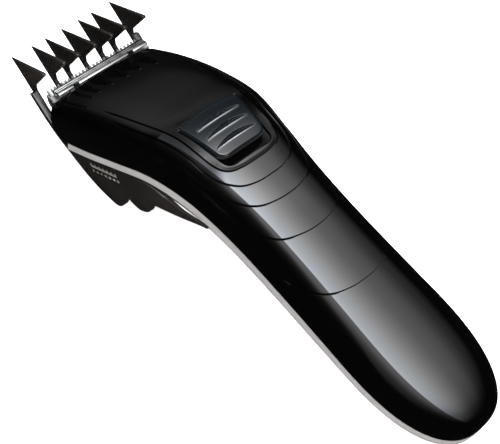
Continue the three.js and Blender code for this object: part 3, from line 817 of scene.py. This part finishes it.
def buttonHeight(x, y, line):
    z = roofHeight(x, y) + button["lift"]
    near = distanceTo(line, x, y)
    if near < button["edgeRound"]:
        t = 1 - near / button["edgeRound"]
        z -= button["edgeDrop"] * t * t
    for rear, half, reach, depth in button["scoops"]:
        share = 1 - (y / half) ** 2
        if share <= 0:
            continue
        front = reach * share
        t = (x - rear) / max(front, 0.05)
        if 0 < t <= 1:
            z -= depth * share ** 0.5 * t ** 0.85
        elif 1 < t and x - rear - front < button["scoopEnd"]:
            z -= depth * share ** 0.5 * (1 - (x - rear - front) / button["scoopEnd"])
        lip = abs(x - rear + 0.1) / button["lipWidth"]
        if lip < 1:
            z += button["lip"] * share ** 0.5 * (1 - lip * lip)
    return z


# painted highlight: marks the rear lips of the scoops on top, most of all on the left, for a lighter tone
def markPaintedGlint(piece):
    paintedGlint = piece.data.attributes.new("paintedGlint", "FLOAT", "POINT")
    size = button["paintedGlint"]
    for i, vertex in enumerate(piece.data.vertices):
        x, y, z = vertex.co
        for rear, half, _, _ in button["scoops"]:
            share = 1 - (y / half) ** 2
            if share > 0 and z > size["above"]:
                near = max(1 - abs(x - rear + 0.12) / size["width"], 0)
                value = min(near * size["strength"], 1) * share * (size["middle"] + size["lean"] * y / half)
                paintedGlint.data[i].value = max(paintedGlint.data[i].value, value)


def buttonPiece():
    line = np.array(softened(button["corners"], button["radii"], switch["recessSteps"]))
    (x0, x1), half = button["sheet"]["x"], button["sheet"]["half"]
    columns, rows = int((x1 - x0) / button["pitch"]), int(2 * half / (button["pitch"] * 1.15))
    bpy.ops.mesh.primitive_grid_add(x_subdivisions=columns, y_subdivisions=rows, size=2)
    piece = named("powerButton")
    for vertex in piece.data.vertices:
        x = x0 + (vertex.co.x + 1) / 2 * (x1 - x0)
        y = vertex.co.y * half
        vertex.co = (x, y, buttonHeight(x, y, line))
    loweredTo(piece, button["base"])
    combine(piece, outlinePlate("buttonEdge", [tuple(p) for p in line], *button["cut"], "plan"), "INTERSECT")
    stem = tipped(bar("stem", *button["stem"]), switch["slope"], *switch["about"])
    piece = editAll(joined(piece, stem), weld(cutGap))
    # painted highlight along the scoop lips
    markPaintedGlint(piece)
    return piece


scale = dict(
    start=(58.3, -34.2), end=(45.4, -24.0), offset=2.0, raised=0.05, sunk=0.02,
    count=7, step=3, numbers=1.35,  # numbers 3, 6 ... in millimetres of hair left
    tick=(1.5, 0.22), shortTick=0.55,
)


def scalePiece():
    (sx, sz), (ex, ez) = scale["start"], scale["end"]
    start, run = Vector((sx, sz)), Vector((ex - sx, ez - sz))
    across = Vector((run.y, -run.x)).normalized()
    if across.y < 0:
        across = -across
    outside = comb["cheekOut"]
    turn = Matrix.Rotation(math.pi - math.atan2(run.y, run.x), 4, "Y")
    marks = None
    steps = (scale["count"] - 1) * scale["step"]
    long, wide = scale["tick"]
    for i in range(steps + 1):
        spot = start + run * (i / steps)
        tall = long * (1 if i % scale["step"] == 0 else scale["shortTick"])
        outline = [(-wide / 2, 0), (wide / 2, 0), (wide / 2, tall), (-wide / 2, tall)]
        tick = outlinePlate(f"tick{i}", outline, outside - scale["sunk"], outside + scale["raised"])
        tick.data.transform(Matrix.Translation((spot.x, 0, spot.y)) @ turn)
        marks = tick if marks is None else joined(marks, tick)
    # letters lie in x y: stand them up on the outside of the cheek, reading from the left
    stand = Matrix(((-1, 0, 0, 0), (0, 0, 1, 0), (0, 1, 0, 0), (0, 0, 0, 1)))
    for i in range(scale["count"]):
        spot = start + run * (i / (scale["count"] - 1)) - across * scale["offset"]
        bpy.ops.object.text_add()
        text = named(f"number{i}")
        text.data.body = str(scale["step"] * (i + 1))
        text.data.size = scale["numbers"]
        text.data.align_x = "CENTER"
        text.data.extrude = scale["raised"] / 2
        text.data.resolution_u = 2
        pick(text)
        bpy.ops.object.convert(target="MESH")
        digits = bpy.context.object
        place = Matrix.Translation((spot.x, outside + scale["raised"] / 2, spot.y))
        digits.data.transform(place @ turn @ stand)
        joined(marks, editAll(digits, weld()))
    marks.name = marks.data.name = "scaleMarks"
    return editAll(marks, outward)


studio = dict(
    floorSize=11, floorTone=(0.86, 0.86, 0.86), floorGlow=0.85, backdrop=5.4,
    card=dict(height=0.8, x=(-3.4, 1.3), y=(-2.6, 1.9)),
    # brightness of the overhead card across the handle: place (m), strength, 1 where it is cool;
    # it steps down at its edge
    glow=[(-2.6, 0.0), (-1.7, 0.15), (-1.0, 0.52), (-0.75, 0.95), (-0.6, 1.5), (-0.43, 2.2), (-0.33, 2.8),
          (-0.23, 3.8), (-0.1, 5.4), (0.05, 7.8), (0.2, 10, 1), (0.3, 11.2, 1), (0.43, 13, 1), (0.44, 2.9),
          (0.56, 2.3), (0.65, 1.5), (0.78, 0.85), (0.95, 0.5), (1.15, 0.38), (1.35, 0.2), (1.9, 0.0)],
    cool=(-0.05, 0, 0.08),  # change of red, green and blue where it is cool
    # its fading along the handle towards the tail, and on a slant towards the head: place (m), share
    fade=[(-3.4, 0.0), (-1.9, 0.03), (-1.2, 0.11), (-1.0, 0.17), (-0.76, 0.36), (-0.66, 0.5), (-0.5, 0.7),
          (-0.37, 0.82), (-0.25, 0.86), (-0.1, 0.88), (-0.02, 0.97), (0.03, 1.15), (1.3, 1.15)],
    ahead=[(-4.5, 1.0), (0.15, 1.0), (0.17, 0.7), (0.19, 0.5), (0.22, 0.3), (0.26, 0.2), (0.32, 0.12),
           (0.5, 0.07), (0.9, 0.05), (2.0, 0.05)],
    slant=0.25,
    # dim card in front of the head: strength over its height, share across
    front=dict(x=3.0, y=(-3.8, 2.2), z=(-1.2, 1.9)),
    frontUp=[(-1.2, 0.02), (-0.3, 0.03), (0.0, 0.04), (0.2, 0.075), (0.37, 0.13), (0.69, 0.2), (1.0, 0.3),
             (1.2, 0.38), (1.9, 0.3)],
    frontAcross=[(-3.8, 0.25), (-2.5, 0.4), (-1.73, 0.62), (-1.1, 0.85), (-0.3, 1.0), (0.4, 0.9), (0.58, 0.5),
                 (0.8, 0.14), (1.2, 0.06), (2.2, 0.03)],
    world=0.01,
)


def addCamera():
    bpy.ops.object.camera_add(location=camera["at"], rotation=[math.radians(a) for a in camera["turn"]])
    made = bpy.context.object
    made.data.lens = camera["lens"]
    made.data.sensor_width = 36
    made.data.clip_start = 0.01
    bpy.context.scene.camera = made


def glowing(name, strength=1.0):
    material = bpy.data.materials.new(name)
    material.use_nodes = True
    nodes = material.node_tree.nodes
    nodes.remove(nodes["Principled BSDF"])
    emit = nodes.new("ShaderNodeEmission")
    emit.inputs["Strength"].default_value = strength
    material.node_tree.links.new(emit.outputs[0], nodes["Material Output"].inputs[0])
    return material


def shaded(name, factors):  # a glow that follows stops along given directions
    material = glowing(name)
    tree = material.node_tree
    coords = tree.nodes.new("ShaderNodeTexCoord")
    emit = next(n for n in tree.nodes if n.type == "EMISSION")
    colour, strength = None, 1
    for way, stops in factors:
        along = tree.nodes.new("ShaderNodeVectorMath")
        along.operation = "DOT_PRODUCT"
        along.inputs[1].default_value = way
        reach = tree.nodes.new("ShaderNodeMapRange")
        low, high = stops[0][0], stops[-1][0]
        reach.inputs["From Min"].default_value = low
        reach.inputs["From Max"].default_value = high
        ramp = tree.nodes.new("ShaderNodeValToRGB")
        marks = ramp.color_ramp.elements
        top = max(stop[1] for stop in stops)
        while len(marks) < len(stops):
            marks.new(0.5)
        for mark, stop in zip(marks, stops):
            share, cool = stop[1] / top, stop[2] if len(stop) > 2 else 0
            mark.position = (stop[0] - low) / (high - low)
            mark.color = (*[share * (1 + change * cool) for change in studio["cool"]], 1)
        tree.links.new(coords.outputs["Object"], along.inputs[0])
        tree.links.new(along.outputs["Value"], reach.inputs["Value"])
        tree.links.new(reach.outputs[0], ramp.inputs[0])
        strength *= top
        if colour is None:
            colour = ramp.outputs[0]
            continue
        mix = tree.nodes.new("ShaderNodeMix")
        mix.data_type = "RGBA"
        mix.blend_type = "MULTIPLY"
        mix.inputs["Factor"].default_value = 1
        tree.links.new(colour, mix.inputs["A"])
        tree.links.new(ramp.outputs[0], mix.inputs["B"])
        colour = mix.outputs["Result"]
    tree.links.new(colour, emit.inputs["Color"])
    emit.inputs["Strength"].default_value = strength
    return material


def addFloor():
    bpy.ops.mesh.primitive_circle_add(vertices=96, radius=studio["floorSize"] / 2, fill_type="NGON")
    floor = named("floor")
    paper = bpy.data.materials.new("paperFloor")
    paper.use_nodes = True
    shader = paper.node_tree.nodes["Principled BSDF"]
    shader.inputs["Base Color"].default_value = (*studio["floorTone"], 1)
    shader.inputs["Roughness"].default_value = 0.9
    shader.inputs["Specular IOR Level"].default_value = 0
    shader.inputs["Emission Color"].default_value = (1, 1, 1, 1)
    shader.inputs["Emission Strength"].default_value = studio["floorGlow"]
    floor.data.materials.append(paper)
    floor.visible_glossy = False  # the glossy sides stay dark


def addBackdrop():  # only the camera sees it
    bpy.ops.mesh.primitive_uv_sphere_add(segments=48, ring_count=24, radius=studio["backdrop"])
    wall = named("backdrop")
    wall.data.materials.append(glowing("backdropWhite", 1.0))
    wall.visible_glossy = False
    wall.visible_diffuse = False
    wall.visible_shadow = False
    wall.visible_transmission = False


def addCard(name, corner, turn, glow):  # a card seen only in reflections and by its light
    bpy.ops.mesh.primitive_plane_add(size=1)
    card = named(name)
    for vertex in card.data.vertices:
        vertex.co = corner(int(vertex.co.x > 0), int(vertex.co.y > 0))
    editAll(card, turn)
    card.data.materials.append(glow)
    card.visible_camera = False


def addStudio():
    bpy.context.scene.view_settings.view_transform = "Standard"
    addFloor()
    addBackdrop()
    card, front = studio["card"], studio["front"]
    # overhead, brightest at a straight edge on the left of the handle and fading to the right
    addCard("overheadCard", lambda i, j: (card["x"][i], card["y"][j], card["height"]),
            lambda: bpy.ops.mesh.flip_normals(),
            shaded("cardGlow", [((0, 1, 0), studio["glow"]), ((1, 0, 0), studio["fade"]),
                                ((1, studio["slant"], 0), studio["ahead"])]))
    addCard("frontCard", lambda i, j: (front["x"], front["y"][i], front["z"][j]), outward,
            shaded("frontGlow", [((0, 0, 1), studio["frontUp"]), ((0, 1, 0), studio["frontAcross"])]))
    world = bpy.data.worlds.new("studioDark")
    bpy.context.scene.world = world
    world.use_nodes = True
    world.node_tree.nodes["Background"].inputs[0].default_value = (*[studio["world"]] * 3, 1)


def plastic(name, colour, rough, spread, grain, bump, tint, metal=0, stretch=(1, 1, 1)):
    # moulded or metal surface: broad noise moves its colour, fine grain its roughness and height
    material = bpy.data.materials.new(name)
    material.use_nodes = True
    tree = material.node_tree
    shader = tree.nodes["Principled BSDF"]
    shader.inputs["Metallic"].default_value = metal
    coords = tree.nodes.new("ShaderNodeTexCoord")
    mapping = tree.nodes.new("ShaderNodeMapping")
    mapping.inputs["Scale"].default_value = stretch
    fine = tree.nodes.new("ShaderNodeTexNoise")
    fine.inputs["Scale"].default_value = grain * 10
    fine.inputs["Detail"].default_value = 4
    broad = tree.nodes.new("ShaderNodeTexNoise")
    broad.inputs["Scale"].default_value = grain / 4
    broad.inputs["Detail"].default_value = 2
    tree.links.new(coords.outputs["Object"], mapping.inputs[0])
    for noise in (fine, broad):
        tree.links.new(mapping.outputs[0], noise.inputs["Vector"])
    ramp = tree.nodes.new("ShaderNodeValToRGB")
    low = [max(c * (1 - tint), 0) for c in colour]
    high = [min(c * (1 + tint), 1) for c in colour]
    ramp.color_ramp.elements[0].position = 0.3
    ramp.color_ramp.elements[1].position = 0.7
    ramp.color_ramp.elements[0].color = (*low, 1)
    ramp.color_ramp.elements[1].color = (*high, 1)
    tree.links.new(broad.outputs["Fac"], ramp.inputs[0])
    tree.links.new(ramp.outputs[0], shader.inputs["Base Color"])
    gloss = tree.nodes.new("ShaderNodeMapRange")
    gloss.inputs["To Min"].default_value = max(rough - spread, 0.02)
    gloss.inputs["To Max"].default_value = rough + spread
    tree.links.new(fine.outputs["Fac"], gloss.inputs["Value"])
    tree.links.new(gloss.outputs[0], shader.inputs["Roughness"])
    relief = tree.nodes.new("ShaderNodeBump")
    relief.inputs["Strength"].default_value = bump
    relief.inputs["Distance"].default_value = 0.0004
    tree.links.new(fine.outputs["Fac"], relief.inputs["Height"])
    tree.links.new(relief.outputs[0], shader.inputs["Normal"])
    return material


# colour, roughness and its spread, grain, relief, change of tone, and for metals the way of brushing
finishes = {
    "gloss_black": plastic("glossBlack", (0.0007, 0.00065, 0.0006), 0.04, 0.012, 60, 0.004, 0.12),
    "grey_shell": plastic("satinGrey", (0.33, 0.308, 0.292), 0.42, 0.06, 300, 0.05, 0.04),
    "comb_brown": plastic("smokedComb", (0.014, 0.0115, 0.0095), 0.24, 0.05, 120, 0.02, 0.25),
    "black_plastic": plastic("blackMoulding", (0.012, 0.012, 0.013), 0.45, 0.06, 300, 0.08, 0.2),
    "slate": plastic("slateMoulding", (0.03, 0.034, 0.042), 0.4, 0.06, 260, 0.06, 0.15),
    "steel": plastic("groundSteel", (0.36, 0.36, 0.355), 0.32, 0.08, 160, 0.03, 0.06,
                     metal=1, stretch=(1, 8, 1)),
    "zinc": plastic("zincPlate", (0.55, 0.56, 0.57), 0.38, 0.08, 200, 0.05, 0.1, metal=1),
    "brass": plastic("brass", (0.72, 0.5, 0.2), 0.32, 0.07, 200, 0.04, 0.08, metal=1),
    "ivory": plastic("ivoryMoulding", (0.62, 0.57, 0.45), 0.5, 0.06, 260, 0.06, 0.06),
    "board_green": plastic("boardGreen", (0.02, 0.12, 0.05), 0.35, 0.08, 300, 0.06, 0.25),
    "cell_wrap": plastic("cellWrap", (0.05, 0.10, 0.16), 0.3, 0.05, 150, 0.03, 0.1),
    "scale_print": plastic("scalePrint", (0.42, 0.40, 0.36), 0.5, 0.05, 300, 0.03, 0.06),
    "chrome": plastic("chromeBar", (0.30, 0.305, 0.30), 0.2, 0.05, 160, 0.02, 0.04,
                      metal=1, stretch=(1, 8, 1)),
    "button_slate": plastic("buttonSatin", (0.0035, 0.0055, 0.0075), 0.17, 0.03, 200, 0.02, 0.2),
    "lead_red": plastic("redLead", (0.35, 0.02, 0.015), 0.45, 0.05, 300, 0.05, 0.15),
    "lead_black": plastic("blackLead", (0.012, 0.012, 0.012), 0.5, 0.05, 300, 0.05, 0.2),
}


def mixPaintedGlint(material, colour):  # painted highlight: mixes a lighter tone into the colour where a piece is marked
    tree = material.node_tree
    shader = tree.nodes["Principled BSDF"]
    under = shader.inputs["Base Color"].links[0].from_socket
    mark = tree.nodes.new("ShaderNodeAttribute")
    mark.attribute_name = "paintedGlint"
    mix = tree.nodes.new("ShaderNodeMix")
    mix.data_type = "RGBA"
    mix.inputs["B"].default_value = (*colour, 1)
    tree.links.new(mark.outputs["Fac"], mix.inputs["Factor"])
    tree.links.new(under, mix.inputs["A"])
    tree.links.new(mix.outputs["Result"], shader.inputs["Base Color"])


# painted highlight on the button's scoop lips, standing in for a reflection of the overhead light
mixPaintedGlint(finishes["button_slate"], (0.55, 0.56, 0.58))


def dressFrame():  # finishes for the CAD nodes that stay
    for part in frame["record"]["subparts"]:
        node = frame["nodes"][part["node"]]
        node.data.materials.clear()
        node.data.materials.append(finishes[part["material_slot"]])


addCamera()
addStudio()
dressFrame()
print("studio ready")

fitted(shellPiece(), "handle", finishes["gloss_black"], ["upper_housing"], angle=None)
print("upper shell ready")
fitted(lowerPiece(), "handle", finishes["grey_shell"], ["lower_housing"])
print("lower shell ready")
fitted(combPiece(), "comb", finishes["comb_brown"], ["comb_body"])
fitted(scalePiece(), "comb", finishes["scale_print"])
fitted(lockPiece(), "comb_lock", finishes["slate"], ["comb_lock_button"])
print("comb ready")
fitted(fixedPiece(), "cutting_unit", finishes["steel"], ["fixed_blade"])
fitted(bladePiece("movingBlade", blades["moving"]), "cutter", finishes["steel"], ["moving_blade"])
fitted(guidePiece(), "cutting_unit", finishes["chrome"], ["guide_bar"])
fitted(springPiece(), "cutting_unit", finishes["chrome"], ["blade_spring"])
print("blades ready")
fitted(buttonPiece(), "power_switch", finishes["button_slate"], ["power_slider"], angle=40)
print("button ready")
